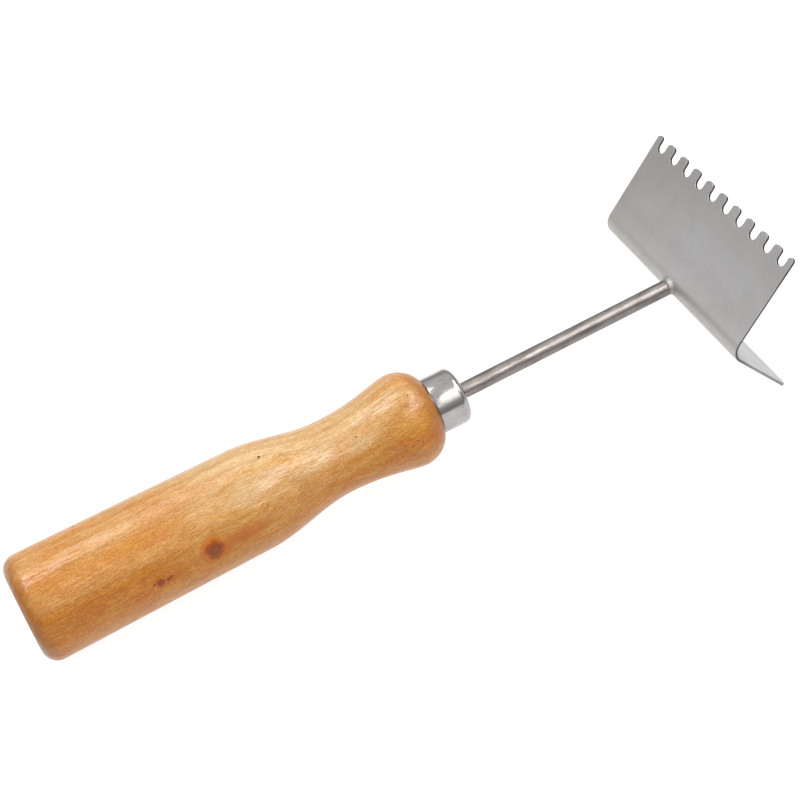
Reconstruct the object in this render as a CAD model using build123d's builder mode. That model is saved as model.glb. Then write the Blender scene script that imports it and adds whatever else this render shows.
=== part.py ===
from build123d import *
import os
from math import cos, radians, sin, tan

os.makedirs("parts", exist_ok=True)

# Uncapping fork for honeycomb: a turned wooden handle with a drawn ferrule, a round steel shank,
# and a sheet steel head bent to an L, with one toothed flange and one plain flange.
# The origin is the centre of the handle's flat butt. +X runs along the handle to the head, and +Z
# is up, on the side of the toothed flange. The tool is symmetric about the XZ plane.

# Handle, from the butt to the ferrule's rim
handle_length = 136.0
butt_radius = 17.1
butt_rounding = 5.0
grip_end_setback = 62.0         # the straight taper ends this far behind the ferrule's rim
grip_end_radius = 16.1
waist_setback = 33.4            # the waist's distance behind the ferrule's rim
waist_radius = 11.9
crest_setback = 8.7             # the same for the swelling in front of the waist
crest_radius = 15.05
grip_sweep = 10.0               # how far each end of the curve holds its direction
waist_sweep = 13.0
crest_sweep = 4.0
shoulder_step = 0.1             # the wood stands this proud of the ferrule

# Ferrule, a cup drawn from sheet
ferrule_radius = 9.0
ferrule_length = 10.0
ferrule_wall = 0.6
ferrule_nose_radius = 2.5
ferrule_hole_clearance = 0.1
tenon_end_gap = 0.5             # between the wood inside and the cup's front wall

# Shank, a straight rod whose rear end is the tang inside the handle
shank_radius = 2.5
shank_reach = 72.8              # from the ferrule's nose to the head's bend line
tang_depth = 55.0               # behind the ferrule's rim
tang_chamfer = 1.0
glue_gap = 0.05                 # round the tang
bore_end_gap = 2.0
drill_point_angle = 118.0

# Head, measured along its outer faces from the line where they would meet
sheet_thickness = 1.0
head_width = 75.5
toothed_flange_length = 35.1
toothed_flange_angle = 45.0     # up from the handle's axis
plain_flange_length = 30.1
plain_flange_angle = 54.5       # down from the handle's axis
bend_inner_radius = 4.7
plain_corner_radius = 2.5

# Teeth
tooth_pitch = 7.45
notch_width = 3.65
notch_depth = 4.5
tooth_corner_radius = 1.1
edge_tooth_least_flat = 0.1     # between the rounded corners of the outermost teeth

# Weld
weld_fillet = 1.2
weld_bevel = 1.2                # ground on the shank's front end and filled by the weld
weld_block_width = 16.0         # the stretch of the bend that the weld is made against

# Stations along the handle's axis
grip_end_x = handle_length - grip_end_setback
waist_x = handle_length - waist_setback
crest_x = handle_length - crest_setback
shoulder_end_radius = ferrule_radius + shoulder_step
nose_x = handle_length + ferrule_length
tenon_end_x = nose_x - ferrule_wall - tenon_end_gap
tenon_radius = ferrule_radius - ferrule_wall
tenon_chamfer = ferrule_nose_radius - ferrule_wall
tang_end_x = handle_length - tang_depth
bore_radius = shank_radius + glue_gap
bore_end_x = tang_end_x - bore_end_gap
drill_point_length = bore_radius / tan(radians(drill_point_angle / 2))
bend_x = nose_x + shank_reach

# Directions and corners of the head's section, in the XZ plane
toothed_way = Vector(cos(radians(toothed_flange_angle)), sin(radians(toothed_flange_angle)))
plain_way = Vector(cos(radians(plain_flange_angle)), -sin(radians(plain_flange_angle)))
toothed_inward = Vector(toothed_way.Y, -toothed_way.X)
plain_inward = Vector(-plain_way.Y, plain_way.X)
opening_angle = toothed_flange_angle + plain_flange_angle
bend_outer_radius = bend_inner_radius + sheet_thickness
outer_corner = Vector(bend_x, 0)
outer_toothed_tip = outer_corner + toothed_way * toothed_flange_length
outer_plain_tip = outer_corner + plain_way * plain_flange_length
corner_depth = sheet_thickness / sin(radians(opening_angle / 2))
inner_corner = outer_corner + (toothed_way + plain_way).normalized() * corner_depth
inner_toothed_tip = outer_toothed_tip + toothed_inward * sheet_thickness
inner_plain_tip = outer_plain_tip + plain_inward * sheet_thickness
bend_centre_depth = bend_outer_radius / sin(radians(opening_angle / 2))
bend_centre = outer_corner + (toothed_way + plain_way).normalized() * bend_centre_depth
bend_front_x = bend_centre.X - bend_outer_radius
shank_stock_end_x = bend_front_x + bend_outer_radius


# The filled section behind the head's outer faces, which the shank and the weld stop at.
with BuildSketch(Plane.XZ) as head_outline:
    with BuildLine():
        outer_faces = FilletPolyline(
            outer_toothed_tip,
            outer_corner,
            outer_plain_tip,
            radius=bend_outer_radius,
        )
        Line(outer_faces @ 0, outer_faces @ 1)
    make_face()


# The turned handle, with a tenon for the ferrule and a blind bore for the tang
with BuildPart() as handle:
    with BuildSketch(Plane.XY):
        with BuildLine():
            butt_flat = Line((0, 0), (0, butt_radius - butt_rounding))
            butt_edge = TangentArc(butt_flat @ 1, (butt_rounding, butt_radius), tangent=(0, 1))
            grip = Line(butt_edge @ 1, (grip_end_x, grip_end_radius))
            grip_control = grip @ 1 + (grip % 1) * grip_sweep
            waist = Bezier(
                grip @ 1,
                grip_control,
                (waist_x - grip_sweep, waist_radius),
                (waist_x, waist_radius),
            )
            swell = Bezier(
                waist @ 1,
                (waist_x + waist_sweep, waist_radius),
                (crest_x - crest_sweep, crest_radius),
                (crest_x, crest_radius),
            )
            shoulder = TangentArc(swell @ 1, (handle_length, shoulder_end_radius), tangent=(1, 0))
            Polyline(
                shoulder @ 1,
                (handle_length, tenon_radius),
                (tenon_end_x - tenon_chamfer, tenon_radius),
                (tenon_end_x, tenon_radius - tenon_chamfer),
                (tenon_end_x, bore_radius),
                (bore_end_x, bore_radius),
                (bore_end_x - drill_point_length, 0),
                (0, 0),
            )
        make_face()
    revolve(axis=Axis.X)
handle.part.label = "handle"
export_step(handle.part, "parts/handle.step")


# The ferrule, a round-nosed cup pushed over the tenon, with a hole for the shank
with BuildPart() as ferrule:
    with BuildSketch(Plane.YZ.offset(handle_length)):
        Circle(ferrule_radius)
    extrude(amount=ferrule_length)
    fillet(ferrule.edges().group_by(Axis.X)[-1], radius=ferrule_nose_radius)
    offset(amount=-ferrule_wall, openings=ferrule.faces().sort_by(Axis.X)[0])
    with BuildSketch(Plane.YZ.offset(handle_length)):
        Circle(shank_radius + ferrule_hole_clearance)
    extrude(amount=ferrule_length, mode=Mode.SUBTRACT)
ferrule.part.label = "ferrule"
export_step(ferrule.part, "parts/ferrule.step")


# The shank, a rod with a chamfered tang, its front end bevelled and shaped to the outside of the bend
with BuildPart() as shank:
    with BuildSketch(Plane.YZ.offset(tang_end_x)):
        Circle(shank_radius)
    extrude(amount=shank_stock_end_x - tang_end_x)
    chamfer(shank.edges().group_by(Axis.X)[0], length=tang_chamfer)
    with BuildSketch(Plane.XY):
        with BuildLine():
            Polyline(
                (bend_front_x - weld_bevel, shank_radius),
                (bend_front_x, shank_radius - weld_bevel),
                (shank_stock_end_x, shank_radius - weld_bevel),
                (shank_stock_end_x, shank_radius),
                close=True,
            )
        make_face()
    revolve(axis=Axis.X, mode=Mode.SUBTRACT)
    extrude(head_outline.sketch, amount=head_width / 2, both=True, mode=Mode.SUBTRACT)
shank.part.label = "shank"
export_step(shank.part, "parts/shank.step")


# The head, one strip of sheet bent to an L, with round-bottomed notches cut into its upper edge
edge_tooth_least_width = 2 * tooth_corner_radius + edge_tooth_least_flat
notch_count = 1 + int((head_width - notch_width - 2 * edge_tooth_least_width) // tooth_pitch)
toothed_plane = Plane(
    origin=(bend_x, 0, 0),
    x_dir=(0, -1, 0),
    z_dir=(-toothed_way.Y, 0, toothed_way.X),
)
plain_plane = Plane(
    origin=(bend_x, 0, 0),
    x_dir=(0, 1, 0),
    z_dir=(plain_way.Y, 0, -plain_way.X),
)
with BuildPart() as scraper_head:
    with BuildSketch(Plane.XZ):
        with BuildLine():
            outside = FilletPolyline(
                outer_toothed_tip,
                outer_corner,
                outer_plain_tip,
                radius=bend_outer_radius,
            )
            inside = FilletPolyline(
                inner_toothed_tip,
                inner_corner,
                inner_plain_tip,
                radius=bend_inner_radius,
            )
            Line(outside @ 0, inside @ 0)
            Line(outside @ 1, inside @ 1)
        make_face()
    extrude(amount=head_width / 2, both=True)
    with BuildSketch(toothed_plane):
        with Locations((0, toothed_flange_length)):
            with GridLocations(tooth_pitch, tooth_pitch, notch_count, 1):
                SlotOverall(2 * notch_depth, notch_width, rotation=90)
    extrude(amount=2 * sheet_thickness, both=True, mode=Mode.SUBTRACT)
    along_toothed = Axis(toothed_plane.origin, toothed_plane.y_dir)
    along_plain = Axis(plain_plane.origin, plain_plane.y_dir)
    tip_corners = scraper_head.edges().filter_by(Axis(toothed_plane.origin, toothed_plane.z_dir))
    fillet(tip_corners.group_by(along_toothed)[-1], radius=tooth_corner_radius)
    plain_corners = scraper_head.edges().filter_by(Axis(plain_plane.origin, plain_plane.z_dir))
    fillet(plain_corners.group_by(along_plain)[-1], radius=plain_corner_radius)
scraper_head.part.label = "scraper_head"
export_step(scraper_head.part, "parts/scraper_head.step")


# The weld, which fills the shank's bevel and leaves a fillet all round where the shank meets the bend
with BuildPart() as weld_bead:
    extrude(head_outline.sketch, amount=weld_block_width / 2, both=True)
    with BuildSketch(Plane.YZ.offset(nose_x)):
        Circle(shank_radius)
    extrude(amount=shank_stock_end_x - nose_x)
    rod_edges = weld_bead.edges(Select.LAST)
    seam = rod_edges - rod_edges.filter_by(GeomType.CIRCLE) - rod_edges.filter_by(GeomType.LINE)
    fillet(seam, radius=weld_fillet)
    extrude(head_outline.sketch, amount=weld_block_width / 2, both=True, mode=Mode.SUBTRACT)
    add(shank.part, mode=Mode.SUBTRACT)
weld_bead.part.label = "weld_bead"
export_step(weld_bead.part, "parts/weld_bead.step")
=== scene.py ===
import math

import bmesh
import bpy
from mathutils import Matrix
from mathutils import Vector
from mathutils.geometry import interpolate_bezier


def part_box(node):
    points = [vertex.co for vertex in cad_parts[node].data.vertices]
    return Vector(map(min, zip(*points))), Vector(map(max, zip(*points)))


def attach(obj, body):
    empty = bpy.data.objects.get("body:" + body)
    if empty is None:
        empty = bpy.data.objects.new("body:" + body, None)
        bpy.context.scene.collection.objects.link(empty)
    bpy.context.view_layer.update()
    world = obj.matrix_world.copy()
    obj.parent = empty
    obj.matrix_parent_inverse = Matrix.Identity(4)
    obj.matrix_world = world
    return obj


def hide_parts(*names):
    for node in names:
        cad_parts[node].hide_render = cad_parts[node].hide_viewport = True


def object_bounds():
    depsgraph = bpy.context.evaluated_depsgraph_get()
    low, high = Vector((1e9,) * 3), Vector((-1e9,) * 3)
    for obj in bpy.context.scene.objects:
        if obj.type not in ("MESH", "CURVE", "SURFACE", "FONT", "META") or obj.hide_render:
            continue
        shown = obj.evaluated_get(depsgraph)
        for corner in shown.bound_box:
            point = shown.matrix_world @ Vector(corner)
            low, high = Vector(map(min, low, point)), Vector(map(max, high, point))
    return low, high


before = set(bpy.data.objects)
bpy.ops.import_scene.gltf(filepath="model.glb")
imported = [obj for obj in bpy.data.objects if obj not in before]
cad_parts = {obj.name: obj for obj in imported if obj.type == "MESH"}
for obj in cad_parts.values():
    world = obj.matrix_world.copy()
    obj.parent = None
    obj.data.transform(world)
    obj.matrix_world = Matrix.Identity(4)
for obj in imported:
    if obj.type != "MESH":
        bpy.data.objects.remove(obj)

# Uncapping fork: a turned and lacquered handle, a drawn ferrule, a steel shank and a bent, toothed head.
# The handle's axis is X, its butt is at the origin, and Z is up. Shape sizes below are in millimetres.

cadLow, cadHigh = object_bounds()
mm = 0.001
scene = bpy.context.scene
nodeBox = {name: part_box(name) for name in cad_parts}
print("frame:", ", ".join(sorted(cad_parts)))


# Helpers for shader trees.
def startMaterial(name):
    mat = bpy.data.materials.new(name)
    mat.use_nodes = True
    tree = mat.node_tree
    tree.nodes.clear()
    shader = tree.nodes.new("ShaderNodeBsdfPrincipled")
    out = tree.nodes.new("ShaderNodeOutputMaterial")
    tree.links.new(shader.outputs["BSDF"], out.inputs["Surface"])
    return mat, tree, shader


def addNode(tree, kind, settings=None, sockets=None):
    item = tree.nodes.new("ShaderNode" + kind)
    for key, value in (settings or {}).items():
        setattr(item, key, value)
    for key, value in (sockets or {}).items():
        plug(tree, item.inputs[key], value)
    return item


def plug(tree, socket, value):
    if isinstance(value, bpy.types.NodeSocket):
        tree.links.new(value, socket)
    else:
        socket.default_value = value


def sums(tree, operation, a, b=0.0, c=0.0):
    settings = {"operation": operation}
    return addNode(tree, "Math", settings, {0: a, 1: b, 2: c}).outputs[0]


def vectorSum(tree, operation, a, b):
    settings = {"operation": operation}
    return addNode(tree, "VectorMath", settings, {0: a, 1: b}).outputs[0]


def fade(tree, value, low, high, outLow=0.0, outHigh=1.0):
    settings = {"interpolation_type": "SMOOTHSTEP"}
    sockets = {0: value, 1: low, 2: high, 3: outLow, 4: outHigh}
    return addNode(tree, "MapRange", settings, sockets).outputs[0]


def blendColour(tree, amount, a, b):
    return addNode(tree, "Mix", {"data_type": "RGBA"}, {0: amount, 6: a, 7: b}).outputs[2]


def noise(tree, coords, scale, detail=3.0, rough=0.5, distortion=0.0):
    sockets = {
        "Vector": coords,
        "Scale": scale,
        "Detail": detail,
        "Roughness": rough,
        "Distortion": distortion,
    }
    return addNode(tree, "TexNoise", None, sockets).outputs[0]


def grained(tree, coords, place, size, detail, rough=0.5, distortion=0.0):
    # noise with its own scale along each axis: a small one draws it out into streaks
    return noise(tree, mapped(tree, coords, place, size=size), 1.0, detail, rough, distortion)


def mapped(tree, coords, place=(0, 0, 0), turn=(0, 0, 0), size=(1, 1, 1), how="POINT"):
    sockets = {"Vector": coords, "Location": place, "Rotation": turn, "Scale": size}
    return addNode(tree, "Mapping", {"vector_type": how}, sockets).outputs[0]


def lengthOf(tree, vector):
    return addNode(tree, "VectorMath", {"operation": "LENGTH"}, {0: vector}).outputs["Value"]


def gapTo(tree, coords, spot):
    sockets = {0: coords, 1: spot}
    return addNode(tree, "VectorMath", {"operation": "DISTANCE"}, sockets).outputs["Value"]


def split(tree, vector):
    return addNode(tree, "SeparateXYZ", None, {0: vector}).outputs


def millimetres(tree):
    coords = addNode(tree, "TexCoord").outputs["Object"]
    return mapped(tree, coords, size=(1000, 1000, 1000))


def bump(tree, height, depth):
    return addNode(tree, "Bump", None, {"Height": height, "Distance": depth}).outputs[0]


def metal(shader):
    shader.inputs["Metallic"].default_value = 1.0


# Helpers for the pieces' meshes.
def arc(centre, radius, first, last, count):
    turns = [math.radians(first + (last - first) * i / count) for i in range(count + 1)]
    return [(centre[0] + radius * math.cos(t), centre[1] + radius * math.sin(t)) for t in turns]


def sweepCurve(a, b, c, d, count):
    knots = [Vector((p[0], p[1], 0)) for p in (a, b, c, d)]
    return [(p.x, p.y) for p in interpolate_bezier(*knots, count)]


def turned(points, steps, closed=False):
    # points are (along the axis, radius); spun about X
    bm = bmesh.new()
    row = [bm.verts.new((along * mm, 0, radius * mm)) for along, radius in points]
    for a, b in zip(row, row[1:]):
        bm.edges.new((a, b))
    if closed:
        bm.edges.new((row[-1], row[0]))
    bmesh.ops.spin(
        bm,
        geom=bm.verts[:] + bm.edges[:],
        cent=(0, 0, 0),
        axis=(1, 0, 0),
        dvec=(0, 0, 0),
        angle=math.tau,
        steps=steps,
        use_merge=True,
        use_duplicate=False,
    )
    bmesh.ops.remove_doubles(bm, verts=bm.verts[:], dist=1e-7)
    bmesh.ops.recalc_face_normals(bm, faces=bm.faces[:])
    return bm


def roundEdges(bm, shape):
    # rounds every edge that turns by more than the shape's angle
    limit = math.radians(shape["roundSharperThan"])
    edges = [e for e in bm.edges if e.is_manifold and e.calc_face_angle(0) > limit]
    bmesh.ops.bevel(
        bm,
        geom=edges,
        offset=shape["edgeRounding"] * mm,
        offset_type="OFFSET",
        affect="EDGES",
        segments=shape["roundSegments"],
        profile=0.5,
        material=-1,
        clamp_overlap=True,
    )


def finishPiece(name, bm, node, mat, smoothBelow=40):
    mesh = bpy.data.meshes.new(name)
    bm.to_mesh(mesh)
    bm.free()
    mesh.shade_smooth()
    mesh.set_sharp_from_angle(angle=math.radians(smoothBelow))
    mesh.materials.append(mat)
    piece = bpy.data.objects.new(name, mesh)
    scene.collection.objects.link(piece)
    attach(piece, "root")
    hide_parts(node)
    print(name, "has", len(mesh.polygons), "faces")
    return piece


# The wooden handle, from the butt to the tenon inside the ferrule.
handleShape = {
    "buttRadius": 17.1,
    "buttRounding": 5.0,
    "gripEndSetback": 62.0,
    "gripEndRadius": 16.1,
    "waistSetback": 33.4,
    "waistRadius": 11.9,
    "crestSetback": 8.7,
    "crestRadius": 15.05,
    "gripSweep": 10.0,
    "waistSweep": 13.0,
    "crestSweep": 4.0,
    "shoulderRadius": 9.1,
    "tenonRadius": 8.4,
    "tenonChamfer": 1.9,
    "boreRadius": 2.55,
    "boreDepth": 57.0,
    "drillPoint": 1.53,
    "roundingSteps": 14,
    "gripSteps": 12,
    "sweepPoints": 22,
    "shoulderSteps": 16,
    "steps": 168,
}


def handleSection(shape):
    rim = nodeBox["ferrule"][0].x / mm
    end = nodeBox["handle"][1].x / mm
    gripEnd = rim - shape["gripEndSetback"]
    waist = rim - shape["waistSetback"]
    crest = rim - shape["crestSetback"]
    slope = (shape["gripEndRadius"] - shape["buttRadius"]) / (gripEnd - shape["buttRounding"])
    sweep = shape["gripSweep"] * math.cos(math.atan(slope))
    flatRadius = shape["buttRadius"] - shape["buttRounding"]
    points = [(0, 0), (0, flatRadius / 2)]
    roundingCentre = (shape["buttRounding"], flatRadius)
    points += arc(roundingCentre, shape["buttRounding"], 180, 90, shape["roundingSteps"])
    for i in range(1, shape["gripSteps"] + 1):
        past = (gripEnd - shape["buttRounding"]) * (i / shape["gripSteps"])
        points.append((shape["buttRounding"] + past, shape["buttRadius"] + past * slope))
    points += sweepCurve(
        (gripEnd, shape["gripEndRadius"]),
        (gripEnd + sweep, shape["gripEndRadius"] + sweep * slope),
        (waist - shape["gripSweep"], shape["waistRadius"]),
        (waist, shape["waistRadius"]),
        shape["sweepPoints"],
    )[1:]
    points += sweepCurve(
        (waist, shape["waistRadius"]),
        (waist + shape["waistSweep"], shape["waistRadius"]),
        (crest - shape["crestSweep"], shape["crestRadius"]),
        (crest, shape["crestRadius"]),
        shape["sweepPoints"],
    )[1:]
    # the shoulder is an arc from the crest down to the ferrule's rim
    run = rim - crest
    drop = shape["crestRadius"] - shape["shoulderRadius"]
    bend = (run * run + drop * drop) / (2 * drop)
    lastTurn = math.degrees(math.acos(run / bend))
    bendCentre = (crest, shape["crestRadius"] - bend)
    points += arc(bendCentre, bend, 90, lastTurn, shape["shoulderSteps"])[1:]
    points += [
        (rim, shape["tenonRadius"]),
        (end - shape["tenonChamfer"], shape["tenonRadius"]),
        (end, shape["tenonRadius"] - shape["tenonChamfer"]),
        (end, shape["boreRadius"]),
        (rim - shape["boreDepth"], shape["boreRadius"]),
        (rim - shape["boreDepth"] - shape["drillPoint"], 0),
    ]
    return points


# Marks on the handle: place, angle from the top towards -Y, and size of the mark
woodMarks = {
    "knots": [
        {"place": (57.2, -15.9, 3.9), "turn": 76, "size": 2.9},
        {"place": (39.0, -16.4, 2.7), "turn": 80, "size": 1.35},
        {"place": (88.0, 12.0, 5.0), "turn": -62, "size": 1.7},
    ],
    "knotDots": [((36.9, -16.3, 3.0), 0.42), ((41.5, -16.4, 2.5), 0.6), ((42.4, -16.4, 2.9), 0.5)],
    "pinHoles": [
        ((80.9, -1.2, 15.4), 0.32),
        ((109.3, -6.7, 10.1), 0.2),
        ((128.6, -4.8, 14.1), 0.2),
        ((125.4, -14.2, 4.35), 0.18),
        ((118.8, -9.5, 9.6), 0.15),
        ((24.0, 9.0, 14.2), 0.3),
        ((97.0, 4.0, -11.6), 0.3),
        ((61.0, 14.0, -8.6), 0.28),
    ],
}

woodLook = {
    "highlightCream": (0.56, 0.40, 0.215, 1),
    "pale": (0.455, 0.27, 0.110, 1),
    "honey": (0.435, 0.200, 0.051, 1),
    "orange": (0.405, 0.133, 0.010, 1),
    "gold": (0.44, 0.195, 0.026, 1),
    "paintedFloorReflection": (0.50, 0.225, 0.060, 1),
    "streak": (0.30, 0.115, 0.022, 1),
    "ringDark": (0.22, 0.07, 0.008, 1),
    "endGrain": (0.28, 0.092, 0.012, 1),
    "joint": (0.09, 0.035, 0.010, 1),
    "knotCore": (0.25, 0.048, 0.001, 1),
    "knotRing": (0.165, 0.027, 0.001, 1),
    "knotHalo": (0.41, 0.108, 0.001, 1),
    "knotTrail": (0.36, 0.090, 0.002, 1),
    "pinHoleShade": (0.01, 0.006, 0.003, 1),
    "bandSize": (0.016, 0.16, 0.16),
    "highlightSize": (0.05, 0.5, 0.5),
    "blotchSize": (0.035, 0.075, 0.075),
    "goldSize": (0.028, 0.11, 0.11),
    "fibreSize": (0.11, 1.6, 1.6),
    "fleckSize": (0.62, 2.3, 2.3),
    "mottleSize": (0.16, 0.42, 0.42),
    "poreSize": (0.3, 3.6, 3.6),
    "rippleSize": (0.06, 0.42, 0.42),
    "toneShares": (0.6, 0.7, 0.8, 0.5),
    "paleForward": 0.42,
    "redAtCrest": -0.26,
    "gritScale": 2.3,
    "ringWidth": 3.4,
    "yearWidth": 1.9,
    "pith": (0, 34.0, -19.0),
    "latheAngles": (0, 2.2, -1.5),
    "coat": 0.60,
    "coatRoughness": 0.15,
    "coatIor": 1.5,
    "bareShine": 0.05,
    "woodRelief": 0.30,
    "coatRelief": 0.45,
}


def aroundKnot(tree, coords, mark):
    # millimetres from a knot: X along the grain, Y round the handle, Z out of the surface, shortened
    turn = (math.radians(mark["turn"]), 0, 0)
    return mapped(tree, coords, mark["place"], turn, (1, 1, 4), "TEXTURE")


def grainPast(tree, coords, mark):
    # bends the grain so that it flows round a knot
    near = aroundKnot(tree, coords, mark)
    reach = lengthOf(tree, near)
    across = split(tree, near)[1]
    spread = mark["size"] * mark["size"] * 1.6
    below = sums(tree, "MULTIPLY_ADD", reach, reach, spread)
    share = sums(tree, "DIVIDE", -spread, below)
    push = sums(tree, "MULTIPLY", share, across)
    turn = math.radians(mark["turn"])
    way = (0, math.cos(turn), math.sin(turn))
    step = addNode(tree, "VectorMath", {"operation": "SCALE"}, {0: way, "Scale": push}).outputs[0]
    return vectorSum(tree, "ADD", coords, step)


def ringPattern(tree, coords, width, axis, profile, distortion, detailScale):
    settings = {"wave_type": "RINGS", "rings_direction": axis, "wave_profile": profile}
    sockets = {
        "Vector": coords,
        "Scale": math.tau / (20 * width),
        "Distortion": distortion,
        "Detail": 3.0,
        "Detail Scale": detailScale,
        "Detail Roughness": 0.55,
    }
    return addNode(tree, "TexWave", settings, sockets).outputs["Fac"]


def paintKnot(tree, colour, place, look, mark):
    # an orange halo that trails along the grain, then a dark core with a loose swirl
    size = mark["size"]
    near = aroundKnot(tree, place, mark)
    wander = addNode(tree, "TexNoise", None, {"Vector": near, "Scale": 0.85 / size, "Detail": 3.0})
    wander = vectorSum(tree, "SUBTRACT", wander.outputs["Color"], (0.5, 0.5, 0.5))
    wander = vectorSum(tree, "MULTIPLY", wander, (size * 1.1, size * 1.1, 0))
    loose = vectorSum(tree, "ADD", near, wander)
    reach = lengthOf(tree, loose)
    trail = lengthOf(tree, mapped(tree, loose, (-0.9 * size, 0, 0), size=(0.33, 1.45, 1)))
    streaks = grained(tree, loose, (0, 0, 0), (0.16, 1.5, 1), 4, 0.65, 0.4)
    trailAmount = sums(
        tree,
        "MULTIPLY",
        fade(tree, trail, size * 1.9, size * 0.4),
        fade(tree, streaks, 0.34, 0.60, 0.40, 1.0),
    )
    colour = blendColour(tree, trailAmount, colour, look["knotTrail"])
    haloAmount = fade(tree, reach, size * 1.9, size * 1.0, 0.0, 0.9)
    colour = blendColour(tree, haloAmount, colour, look["knotHalo"])
    swirl = ringPattern(tree, loose, 0.85 * size, "Z", "SIN", 1.5, 0.9)
    core = blendColour(tree, swirl, look["knotCore"], look["knotRing"])
    coreAmount = fade(tree, reach, size * 1.15, size * 0.85, 0.0, 0.92)
    return blendColour(tree, coreAmount, colour, core)


def billetColourAndLight(tree, place, grain, along, look):
    # the colour is redder below and towards the butt, paler above, with a ragged border between; the
    # change along the handle and the grain bands are the wood's own tone, while the paler top and redder
    # underside are painted light and shade, as if lit from above
    aroundAxis = vectorSum(tree, "MULTIPLY", place, (0, 1, 1))
    radius = sums(tree, "ADD", lengthOf(tree, aroundAxis), 2.0)
    above = sums(tree, "DIVIDE", split(tree, place)[2], radius)
    bands = grained(tree, grain, (0, 0, 0), look["bandSize"], 4, 0.55, 0.3)
    forward = fade(tree, along, 28.0, 78.0, 0.0, look["paleForward"])
    atCrest = fade(tree, along, 104.0, 124.0, 0.0, look["redAtCrest"])
    # above makes the top paler and the underside redder: painted light and shade, as if lit from
    # overhead
    billetAndLight = sums(tree, "ADD", above, sums(tree, "ADD", forward, atCrest))
    billetAndLight = sums(tree, "MULTIPLY_ADD", bands, 0.6, sums(tree, "ADD", billetAndLight, -0.3))
    colour = blendColour(tree, fade(tree, billetAndLight, 0.44, 0.68), look["orange"], look["honey"])
    colour = blendColour(tree, fade(tree, billetAndLight, 0.72, 1.10), colour, look["pale"])
    # painted highlight: cream streaks along the grain on top, where the overhead light reflects in the
    # lacquer
    highlightGrain = grained(tree, grain, (5, 3, 8), look["highlightSize"], 5, 0.6, 0.5)
    highlightReach = sums(tree, "MULTIPLY_ADD", highlightGrain, 0.9, sums(tree, "ADD", billetAndLight, -0.45))
    highlightAmount = fade(tree, highlightReach, 0.95, 1.5, 0.0, 0.6)
    colour = blendColour(tree, highlightAmount, colour, look["highlightCream"])
    # painted reflection: the underside is lighter where the pale floor reflects in it
    floorReflectionAmount = fade(tree, above, 0.14, -0.25, 0.0, 0.6)
    colour = blendColour(tree, floorReflectionAmount, colour, look["paintedFloorReflection"])
    blotch = grained(tree, place, (3.1, 0.7, 0.2), look["blotchSize"], 3, 0.5, 0.6)
    blotchAmount = fade(tree, blotch, 0.48, 0.70, 0.0, 0.5)
    colour = blendColour(tree, blotchAmount, colour, look["orange"])
    golden = grained(tree, grain, (8, 1, 6), look["goldSize"], 4, 0.6, 0.6)
    goldAmount = fade(tree, golden, 0.48, 0.66, 0.0, 0.65)
    return blendColour(tree, goldAmount, colour, look["gold"])


def paintRings(tree, colour, coords, look):
    # growth rings, cut at a slight angle by the lathe
    rings = ringPattern(tree, coords, look["ringWidth"], "X", "SIN", 3.2, 0.16)
    return blendColour(tree, fade(tree, rings, 0.5, 1.0, 0.0, 0.22), colour, look["streak"])


def paintEnds(tree, colour, place, along, grit, look):
    # the end grain at the butt's rounding and at the shoulder drinks more lacquer
    rim = nodeBox["ferrule"][0].x / mm
    ragged = sums(tree, "MULTIPLY_ADD", noise(tree, place, 0.35, 4, 0.6), 6.0, -3.0)
    edge = sums(tree, "ADD", along, ragged)
    buttAmount = fade(tree, edge, 6.0, 0.8, 0.0, 0.8)
    shoulderAmount = fade(tree, edge, rim - 8.0, rim - 1.5, 0.0, 0.85)
    endAmount = sums(tree, "MAXIMUM", buttAmount, shoulderAmount)
    colour = blendColour(tree, endAmount, colour, look["endGrain"])
    jointReach = sums(tree, "MULTIPLY_ADD", grit, 1.2, along)
    jointAmount = fade(tree, jointReach, rim - 0.9, rim + 0.2, 0.0, 0.85)
    return blendColour(tree, jointAmount, colour, look["joint"])


def paintButt(tree, colour, coords, along, flecks, look):
    # on the butt's flat the yearly rings show, with fine rays across them
    years = ringPattern(tree, coords, look["yearWidth"], "X", "SAW", 1.4, 0.25)
    onButt = fade(tree, along, 1.6, 0.2)
    yearAmount = sums(tree, "MULTIPLY", onButt, fade(tree, years, 0.45, 1.0, 0.0, 0.6))
    colour = blendColour(tree, yearAmount, colour, look["ringDark"])
    rayAmount = sums(tree, "MULTIPLY", onButt, fade(tree, flecks, 0.5, 0.75, 0.0, 0.6))
    return blendColour(tree, rayAmount, colour, look["honey"])


def pinHoleAmount(tree, place, spots):
    amount = 0.0
    for spot, size in spots:
        hole = fade(tree, gapTo(tree, place, spot), size * 1.35, size * 0.75)
        amount = sums(tree, "MAXIMUM", hole, amount)
    return amount


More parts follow.
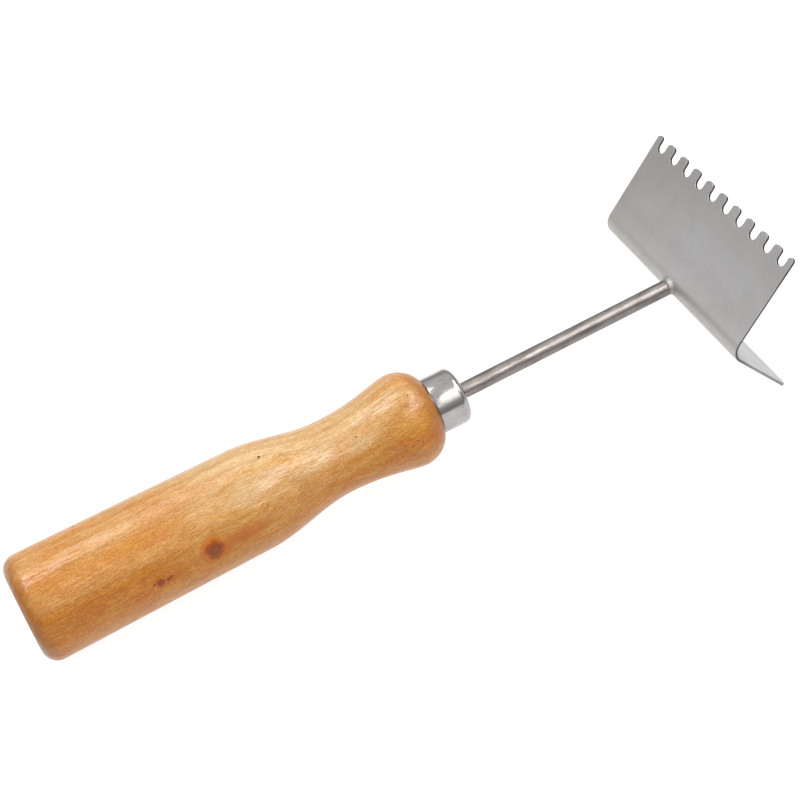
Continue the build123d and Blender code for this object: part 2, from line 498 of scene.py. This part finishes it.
def lacqueredWood(look, marks):
    mat, tree, shader = startMaterial("lacqueredWood")
    place = millimetres(tree)
    along = split(tree, place)[0]
    grain = place
    for knot in marks["knots"]:
        grain = grainPast(tree, grain, knot)
    pith = tuple(-p for p in look["pith"])
    lathe = tuple(math.radians(a) for a in look["latheAngles"])
    colour = billetColourAndLight(tree, place, grain, along, look)
    ringPlace = mapped(tree, grain, pith, lathe, (0.12, 1, 1))
    colour = paintRings(tree, colour, ringPlace, look)

    # long fibres, short flecks, grit and soft mottling deepen and lighten the colour by turns
    fibres = grained(tree, grain, (0, 0, 0), look["fibreSize"], 6, 0.66, 0.2)
    flecks = grained(tree, grain, (4, 8, 1), look["fleckSize"], 4, 0.62, 0.3)
    grit = noise(tree, mapped(tree, place, (6, 2, 9)), look["gritScale"], 2, 0.6)
    mottle = grained(tree, grain, (2, 6, 5), look["mottleSize"], 5, 0.65, 0.8)
    tone = 1.0
    for pattern, share in zip((fibres, flecks, grit, mottle), look["toneShares"]):
        tone = sums(tree, "MULTIPLY_ADD", pattern, -share, sums(tree, "ADD", tone, share / 2))
    colour = addNode(tree, "Gamma", None, {"Color": colour, "Gamma": tone}).outputs[0]
    pores = grained(tree, grain, (7, 1, 4), look["poreSize"], 2)
    poreAmount = fade(tree, pores, 0.60, 0.74, 0.0, 0.5)
    colour = blendColour(tree, poreAmount, colour, look["streak"])

    colour = paintEnds(tree, colour, place, along, grit, look)
    colour = paintButt(tree, colour, mapped(tree, place, pith, lathe), along, flecks, look)
    for knot in marks["knots"]:
        colour = paintKnot(tree, colour, place, look, knot)
    for spot, size in marks["knotDots"]:
        dotAmount = fade(tree, gapTo(tree, place, spot), size * 1.5, size * 0.6, 0.0, 0.85)
        colour = blendColour(tree, dotAmount, colour, look["knotRing"])
    # the pin holes are real; their near-black colour is painted shade inside them
    holes = pinHoleAmount(tree, place, marks["pinHoles"])
    colour = blendColour(tree, holes, colour, look["pinHoleShade"])
    plug(tree, shader.inputs["Base Color"], colour)

    # the lacquer follows the grain a little, so long highlights break into streaks
    plug(tree, shader.inputs["Roughness"], fade(tree, fibres, 0.3, 0.75, 0.36, 0.6))
    ripple = grained(tree, grain, (1, 9, 3), look["rippleSize"], 3, 0.55)
    woodHeight = sums(tree, "MULTIPLY_ADD", fibres, 0.25, ripple)
    woodHeight = sums(tree, "MULTIPLY_ADD", pores, -0.12, woodHeight)
    woodHeight = sums(tree, "MULTIPLY_ADD", holes, -3.0, woodHeight)
    plug(tree, shader.inputs["Normal"], bump(tree, woodHeight, look["woodRelief"] * mm))
    coatHeight = sums(tree, "MULTIPLY_ADD", flecks, 0.06, ripple)
    coatHeight = sums(tree, "MULTIPLY_ADD", fibres, 0.10, coatHeight)
    coatHeight = sums(tree, "MULTIPLY_ADD", holes, -2.0, coatHeight)
    plug(tree, shader.inputs["Coat Normal"], bump(tree, coatHeight, look["coatRelief"] * mm))
    shader.inputs["Coat Weight"].default_value = look["coat"]
    shader.inputs["Coat Roughness"].default_value = look["coatRoughness"]
    shader.inputs["Coat IOR"].default_value = look["coatIor"]
    shader.inputs["Specular IOR Level"].default_value = look["bareShine"]
    return mat


finishPiece(
    "turnedHandle",
    turned(handleSection(handleShape), handleShape["steps"]),
    "handle",
    lacqueredWood(woodLook, woodMarks),
)


# The drawn ferrule, a cup with a rounded nose.
ferruleShape = {
    "radius": 9.0,
    "wall": 0.6,
    "noseRadius": 2.5,
    "holeRadius": 2.6,
    "bandLength": 3.0,
    "flatRadius": 4.4,
    "edgeRounding": 0.14,
    "roundSegments": 3,
    "roundSharperThan": 60,
    "noseSteps": 14,
    "insideSteps": 8,
    "steps": 144,
}

ferruleLook = {
    "metal": (0.42, 0.40, 0.39, 1),
    "worn": (0.35, 0.33, 0.315, 1),
    "scratch": (0.12, 0.11, 0.10, 1),
    "relief": 0.006,
}


def ferruleSection(shape):
    rim = nodeBox["ferrule"][0].x / mm
    nose = nodeBox["ferrule"][1].x / mm
    outer = shape["radius"]
    wall = shape["wall"]
    bend = shape["noseRadius"]
    hole = shape["holeRadius"]
    bendCentre = (nose - bend, outer - bend)
    points = [(rim, outer), (rim + shape["bandLength"], outer)]
    points += arc(bendCentre, bend, 90, 0, shape["noseSteps"])
    points += [(nose, shape["flatRadius"]), (nose, hole), (nose - wall, hole)]
    points += arc(bendCentre, bend - wall, 0, 90, shape["insideSteps"])
    points += [(rim, outer - wall)]
    return points


def platedSteel(look):
    mat, tree, shader = startMaterial("platedSteel")
    place = millimetres(tree)
    cloud = noise(tree, place, 0.22, 4, 0.6)
    draw = grained(tree, place, (0, 0, 0), (0.08, 2.6, 2.6), 4, 0.6)
    colour = blendColour(tree, fade(tree, cloud, 0.4, 0.7, 0.0, 0.7), look["metal"], look["worn"])
    scratches = grained(tree, place, (4, 2, 7), (0.42, 5.5, 5.5), 1, 0.4)
    patches = noise(tree, mapped(tree, place, (1, 5, 2)), 0.16, 2, 0.5)
    scratchAmount = sums(
        tree,
        "MULTIPLY",
        fade(tree, scratches, 0.63, 0.71),
        fade(tree, patches, 0.42, 0.56, 0.0, 0.65),
    )
    colour = blendColour(tree, scratchAmount, colour, look["scratch"])
    plug(tree, shader.inputs["Base Color"], colour)
    metal(shader)
    roughness = fade(tree, sums(tree, "MULTIPLY_ADD", draw, 0.4, cloud), 0.45, 0.95, 0.15, 0.26)
    plug(tree, shader.inputs["Roughness"], roughness)
    height = sums(tree, "MULTIPLY_ADD", scratchAmount, -0.8, sums(tree, "MULTIPLY", draw, 0.3))
    plug(tree, shader.inputs["Normal"], bump(tree, height, look["relief"] * mm))
    return mat


ferruleMesh = turned(ferruleSection(ferruleShape), ferruleShape["steps"], closed=True)
roundEdges(ferruleMesh, ferruleShape)
finishPiece("ferruleCup", ferruleMesh, "ferrule", platedSteel(ferruleLook))


# The steel shank, whose rear end is the tang in the handle.
shankShape = {
    "radius": 2.5,
    "tangChamfer": 1.0,
    "frontBevel": 1.2,
    "lengths": 10,
    "steps": 96,
}

shankLook = {
    "metal": (0.285, 0.262, 0.245, 1),
    "worn": (0.18, 0.16, 0.148, 1),
    "speck": (0.06, 0.05, 0.045, 1),
    "relief": 0.06,
}


def shankSection(shape):
    tangEnd = nodeBox["shank"][0].x / mm
    front = nodeBox["scraper_head"][0].x / mm
    radius = shape["radius"]
    chamfer = shape["tangChamfer"]
    bevel = shape["frontBevel"]
    count = shape["lengths"]
    points = [(tangEnd, 0), (tangEnd, radius - chamfer), (tangEnd + chamfer, radius)]
    points += [(tangEnd + (front - tangEnd) * i / count, radius) for i in range(1, count)]
    # the front end tapers inside the weld and stops at the bend
    points += [(front - bevel * 0.8, radius), (front - bevel * 0.1, radius - bevel), (front, 0)]
    return points


def drawnSteel(look):
    mat, tree, shader = startMaterial("drawnSteel")
    place = millimetres(tree)
    cloud = grained(tree, place, (0, 0, 0), (0.12, 0.4, 0.4), 4, 0.6)
    draw = grained(tree, place, (0, 0, 0), (0.06, 3.6, 3.6), 4, 0.6)
    colour = blendColour(tree, fade(tree, cloud, 0.38, 0.66), look["metal"], look["worn"])
    specks = noise(tree, mapped(tree, place, (3, 8, 1)), 1.9, 2, 0.5)
    speckAmount = fade(tree, specks, 0.68, 0.76, 0.0, 0.8)
    colour = blendColour(tree, fade(tree, draw, 0.48, 0.72, 0.0, 0.4), colour, look["speck"])
    colour = blendColour(tree, speckAmount, colour, look["speck"])
    plug(tree, shader.inputs["Base Color"], colour)
    metal(shader)
    roughness = fade(tree, draw, 0.3, 0.7, 0.34, 0.48)
    plug(tree, shader.inputs["Roughness"], roughness)
    height = sums(tree, "MULTIPLY_ADD", draw, 0.5, cloud)
    height = sums(tree, "MULTIPLY_ADD", speckAmount, -0.6, height)
    plug(tree, shader.inputs["Normal"], bump(tree, height, look["relief"] * mm))
    return mat


finishPiece(
    "steelShank",
    turned(shankSection(shankShape), shankShape["steps"]),
    "shank",
    drawnSteel(shankLook),
)


# The bent head, from the mesh of the CAD node.
headShape = {
    "edgeRounding": 0.14,
    "toothedAngle": 45.0,
    "plainAngle": 54.5,
    "bendReach": 6.0,
    "flatWithin": 0.5,
    "roundSegments": 2,
    "roundSharperThan": 40,
    "edgeNormalShare": 0.3,
    "sideNormalShare": 0.93,
}

headLook = {
    "metal": (0.54, 0.517, 0.523, 1),
    "cool": (0.505, 0.505, 0.51, 1),
    "bendShade": (0.45, 0.44, 0.41, 1),
    "sideTint": (0.42, 0.405, 0.375, 1),
    "cutEdgeSteelAndShade": (0.12, 0.114, 0.11, 1),
    "notchSteelAndShade": (0.055, 0.05, 0.048, 1),
    "plainEdgeSteelAndShade": (0.28, 0.27, 0.265, 1),
    "speck": (0.33, 0.31, 0.29, 1),
    "relief": 0.02,
}


def cadCopy(node):
    bm = bmesh.new()
    bm.from_mesh(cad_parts[node].data)
    bmesh.ops.remove_doubles(bm, verts=bm.verts[:], dist=1e-6)
    return bm


def headMesh(shape):
    bm = cadCopy("scraper_head")
    flat = math.radians(shape["flatWithin"])
    bmesh.ops.dissolve_limit(bm, angle_limit=flat, verts=bm.verts[:], edges=bm.edges[:])
    roundEdges(bm, shape)
    bmesh.ops.recalc_face_normals(bm, faces=bm.faces[:])
    # faces that stand across the sheet are marked as cut edges
    cut = bm.faces.layers.float.new("cutFace")
    upper = math.radians(shape["toothedAngle"])
    lower = math.radians(shape["plainAngle"])
    upperNormal = Vector((-math.sin(upper), 0, math.cos(upper)))
    lowerNormal = Vector((-math.sin(lower), 0, -math.cos(lower)))
    for face in bm.faces:
        height = face.calc_center_median().z / mm
        if height > shape["bendReach"]:
            across = abs(face.normal.dot(upperNormal)) < shape["edgeNormalShare"]
        elif height < -shape["bendReach"]:
            across = abs(face.normal.dot(lowerNormal)) < shape["edgeNormalShare"]
        else:
            across = abs(face.normal.y) > shape["sideNormalShare"]
        face[cut] = float(across)
    return bm


def satinSteel(look):
    mat, tree, shader = startMaterial("satinSteel")
    place = millimetres(tree)
    along, side, height = split(tree, place)
    cloud = noise(tree, place, 0.07, 4, 0.55, 0.4)
    fine = noise(tree, place, 1.4, 3, 0.6)
    colour = blendColour(tree, fade(tree, cloud, 0.4, 0.62), look["metal"], look["cool"])

    # slightly duller along the bend, towards the far side and up at the teeth; along the bend the
    # darkening is painted shade for the dark reflection there
    bendX = nodeBox["scraper_head"][0].x / mm
    bendReach = sums(tree, "MULTIPLY_ADD", cloud, 3.0, along)
    nearBend = fade(tree, bendReach, bendX + 8.0, bendX + 3.0, 0.0, 0.4)
    colour = blendColour(tree, nearBend, colour, look["bendShade"])
    sideAmount = fade(tree, sums(tree, "MULTIPLY_ADD", cloud, 16.0, side), 6.0, 44.0, 0.0, 0.5)
    colour = blendColour(tree, sideAmount, colour, look["sideTint"])
    specks = noise(tree, mapped(tree, place, (5, 2, 8)), 0.9, 2, 0.5)
    colour = blendColour(tree, fade(tree, specks, 0.73, 0.80, 0.0, 0.5), colour, look["speck"])
    patches = noise(tree, mapped(tree, place, (9, 4, 2)), 0.16, 5, 0.7)
    colour = blendColour(tree, fade(tree, patches, 0.45, 0.65, 0.0, 0.10), colour, look["speck"])
    # darker towards the toothed edge
    darkerTowardsTeeth = fade(tree, sums(tree, "MULTIPLY_ADD", cloud, 8.0, height), 14.0, 26.0, 0.0, 0.40)
    colour = blendColour(tree, darkerTowardsTeeth, colour, look["speck"])
    grit = noise(tree, place, 2.2, 2, 0.6)
    colour = blendColour(tree, fade(tree, grit, 0.4, 0.7, 0.0, 0.16), colour, look["speck"])

    # the sheared edges are darker, and darkest between the teeth: partly the duller cut steel, partly
    # painted shade on faces turned from the light and in the notches
    cut = addNode(tree, "Attribute", {"attribute_name": "cutFace"}).outputs["Fac"]
    edgeSteelAndShadeColour = blendColour(tree, fade(tree, height, -8.0, 0.0), look["plainEdgeSteelAndShade"], look["cutEdgeSteelAndShade"])
    edgeSteelAndShadeColour = blendColour(tree, fade(tree, height, 17.0, 20.0), edgeSteelAndShadeColour, look["notchSteelAndShade"])
    colour = blendColour(tree, cut, colour, edgeSteelAndShadeColour)
    plug(tree, shader.inputs["Base Color"], colour)
    metal(shader)
    grainy = sums(tree, "MULTIPLY_ADD", fine, 0.5, cloud)
    roughness = sums(tree, "MULTIPLY_ADD", cut, 0.12, fade(tree, grainy, 0.5, 1.0, 0.38, 0.50))
    roughness = sums(tree, "MULTIPLY_ADD", nearBend, 0.3, roughness)
    plug(tree, shader.inputs["Roughness"], roughness)
    shear = noise(tree, mapped(tree, place, size=(1.6, 1.6, 0.5)), 1.0, 3, 0.6)
    relief = sums(tree, "MULTIPLY_ADD", sums(tree, "MULTIPLY", cut, shear), 1.5, fine)
    plug(tree, shader.inputs["Normal"], bump(tree, relief, look["relief"] * mm))
    return mat


bentHead = finishPiece(
    "bentHead",
    headMesh(headShape),
    "scraper_head",
    satinSteel(headLook),
    smoothBelow=30,
)
flatten = bentHead.modifiers.new("flatFaces", "WEIGHTED_NORMAL")
flatten.mode = "FACE_AREA"
flatten.keep_sharp = True


# The weld between the shank and the bend.
weldLook = {
    "rodSide": (0.265, 0.243, 0.228, 1),
    "headSide": (0.40, 0.387, 0.382, 1),
    "heat": (0.34, 0.318, 0.30, 1),
    "relief": 0.05,
}


def weldSteel(look):
    mat, tree, shader = startMaterial("weldSteel")
    place = millimetres(tree)
    cloud = noise(tree, place, 0.8, 4, 0.6)
    rear = nodeBox["weld_bead"][0].x / mm
    blend = fade(tree, split(tree, place)[0], rear, rear + 1.6)
    colour = blendColour(tree, blend, look["rodSide"], look["headSide"])
    colour = blendColour(tree, fade(tree, cloud, 0.45, 0.65, 0.0, 0.5), colour, look["heat"])
    plug(tree, shader.inputs["Base Color"], colour)
    metal(shader)
    plug(tree, shader.inputs["Roughness"], fade(tree, blend, 0.0, 1.0, 0.42, 0.62))
    ripple = noise(tree, place, 1.6)
    plug(tree, shader.inputs["Normal"], bump(tree, ripple, look["relief"] * mm))
    return mat


finishPiece(
    "weldBead",
    cadCopy("weld_bead"),
    "weld_bead",
    weldSteel(weldLook),
    smoothBelow=50,
)
print("pieces done")


# Floor, lights and camera.
studio = {
    "floorReach": 3.0,
    "floorColour": (0.20, 0.20, 0.20, 1),
    "floorRoughness": 0.8,
    "floorGlow": (0.90, 0.48),
    "litPlace": (0.14, 0.13, 0),
    "litReach": (0.29, 0.28, 1),
    "keyPlace": (0.67, -0.25, 0.96),
    "keyAim": (0.25, 0, 0),
    "keySize": (1.34, 0.18),
    "keyRadiance": 11.5,
    "backPlace": (-0.17, 0.22, 1.0),
    "backSize": (0.75, 0.20),
    "backAim": (0.03, 0, 0),
    "backRadiance": 13.0,
    "fillPlace": (0.34, -1.0, 0.78),
    "fillSize": (1.0, 0.30),
    "fillRadiance": 1.2,
    "sidePlace": (1.15, -0.25, 0.75),
    "sideSize": (0.6, 0.5),
    "sideRadiance": 2.4,
    "backShare": 0.15,
    "sky": ((0.0, 0.32), (0.14, 0.36), (0.42, 0.64), (0.62, 0.88), (1.0, 0.82)),
}


def restingPlane():
    # the tool lies on the butt's lower edge and on the plain flange's edge
    buttZ = nodeBox["handle"][0].z
    headZ = nodeBox["scraper_head"][0].z
    buttX = handleShape["buttRounding"] * mm
    edge = max((v.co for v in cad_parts["scraper_head"].data.vertices), key=lambda c: -c.z)
    tilt = math.atan2(buttZ - headZ, edge.x - buttX)
    return Matrix.Translation((buttX, 0, buttZ)) @ Matrix.Rotation(tilt, 4, "Y")


def paleFloor(look):
    bm = bmesh.new()
    bmesh.ops.create_grid(bm, x_segments=2, y_segments=2, size=look["floorReach"])
    bmesh.ops.transform(bm, matrix=restingPlane(), verts=bm.verts[:])
    mesh = bpy.data.meshes.new("paleFloor")
    bm.to_mesh(mesh)
    bm.free()
    mat, tree, shader = startMaterial("paleFloor")
    shader.inputs["Base Color"].default_value = look["floorColour"]
    shader.inputs["Roughness"].default_value = look["floorRoughness"]
    shader.inputs["Specular IOR Level"].default_value = 0.1
    # the floor glows, brightest in a pool round the tool and fading further out: painted light that
    # washes out its shadows
    shader.inputs["Emission Color"].default_value = (1, 1, 1, 1)
    coords = addNode(tree, "TexCoord").outputs["Object"]
    lit = mapped(tree, coords, look["litPlace"], (0, 0, 0), look["litReach"], "TEXTURE")
    glow = fade(tree, lengthOf(tree, lit), 1.05, 3.0, *look["floorGlow"])
    plug(tree, shader.inputs["Emission Strength"], glow)
    mesh.materials.append(mat)
    floor = bpy.data.objects.new("paleFloor", mesh)
    scene.collection.objects.link(floor)


def softLight(name, place, size, radiance, aim):
    data = bpy.data.lights.new(name, "AREA")
    data.shape = "RECTANGLE"
    data.size = size[0]
    data.size_y = size[1]
    data.energy = radiance * math.pi * size[0] * size[1]
    lamp = bpy.data.objects.new(name, data)
    lamp.location = place
    way = Vector(aim) - Vector(place)
    lamp.rotation_euler = way.to_track_quat("-Z", "Y").to_euler()
    scene.collection.objects.link(lamp)


def studioSky(look):
    world = bpy.data.worlds.new("studioSky")
    world.use_nodes = True
    tree = world.node_tree
    tree.nodes.clear()
    way = split(tree, addNode(tree, "TexCoord").outputs["Generated"])
    ramp = addNode(tree, "ValToRGB", None, {0: way[2]})
    stops = ramp.color_ramp.elements
    for i, (at, value) in enumerate(look["sky"]):
        stop = stops[i] if i < 2 else stops.new(at)
        stop.position = at
        stop.color = (value, value, value, 1)
    strength = sums(tree, "MULTIPLY_ADD", way[1], look["backShare"], 1.0)
    back = addNode(tree, "Background", None, {0: ramp.outputs[0], 1: strength})
    out = addNode(tree, "OutputWorld")
    tree.links.new(back.outputs[0], out.inputs["Surface"])
    scene.world = world


paleFloor(studio)
middle = (cadLow + cadHigh) / 2
for lamp in ("key", "back", "side", "fill"):
    softLight(
        lamp + "Light",
        studio[lamp + "Place"],
        studio[lamp + "Size"],
        studio[lamp + "Radiance"],
        studio.get(lamp + "Aim", middle),
    )
studioSky(studio)

view = {
    "place": (0.01098, -0.43388, 0.44861),
    "right": (0.87692, -0.43727, -0.1995),
    "up": (0.44361, 0.57661, 0.6861),
    "lens": 94.3,
    "sensor": 36,
}
camera = bpy.data.objects.new("camera", bpy.data.cameras.new("camera"))
camera.data.lens = view["lens"]
camera.data.sensor_width = view["sensor"]
camera.data.clip_start = 0.01
camera.data.clip_end = 20
right = Vector(view["right"]).normalized()
back = right.cross(Vector(view["up"])).normalized()
turn = Matrix((right, back.cross(right), back)).transposed()
camera.matrix_world = Matrix.Translation(view["place"]) @ turn.to_4x4()
scene.collection.objects.link(camera)
scene.camera = camera
scene.view_settings.view_transform = "Standard"
print("studio done")
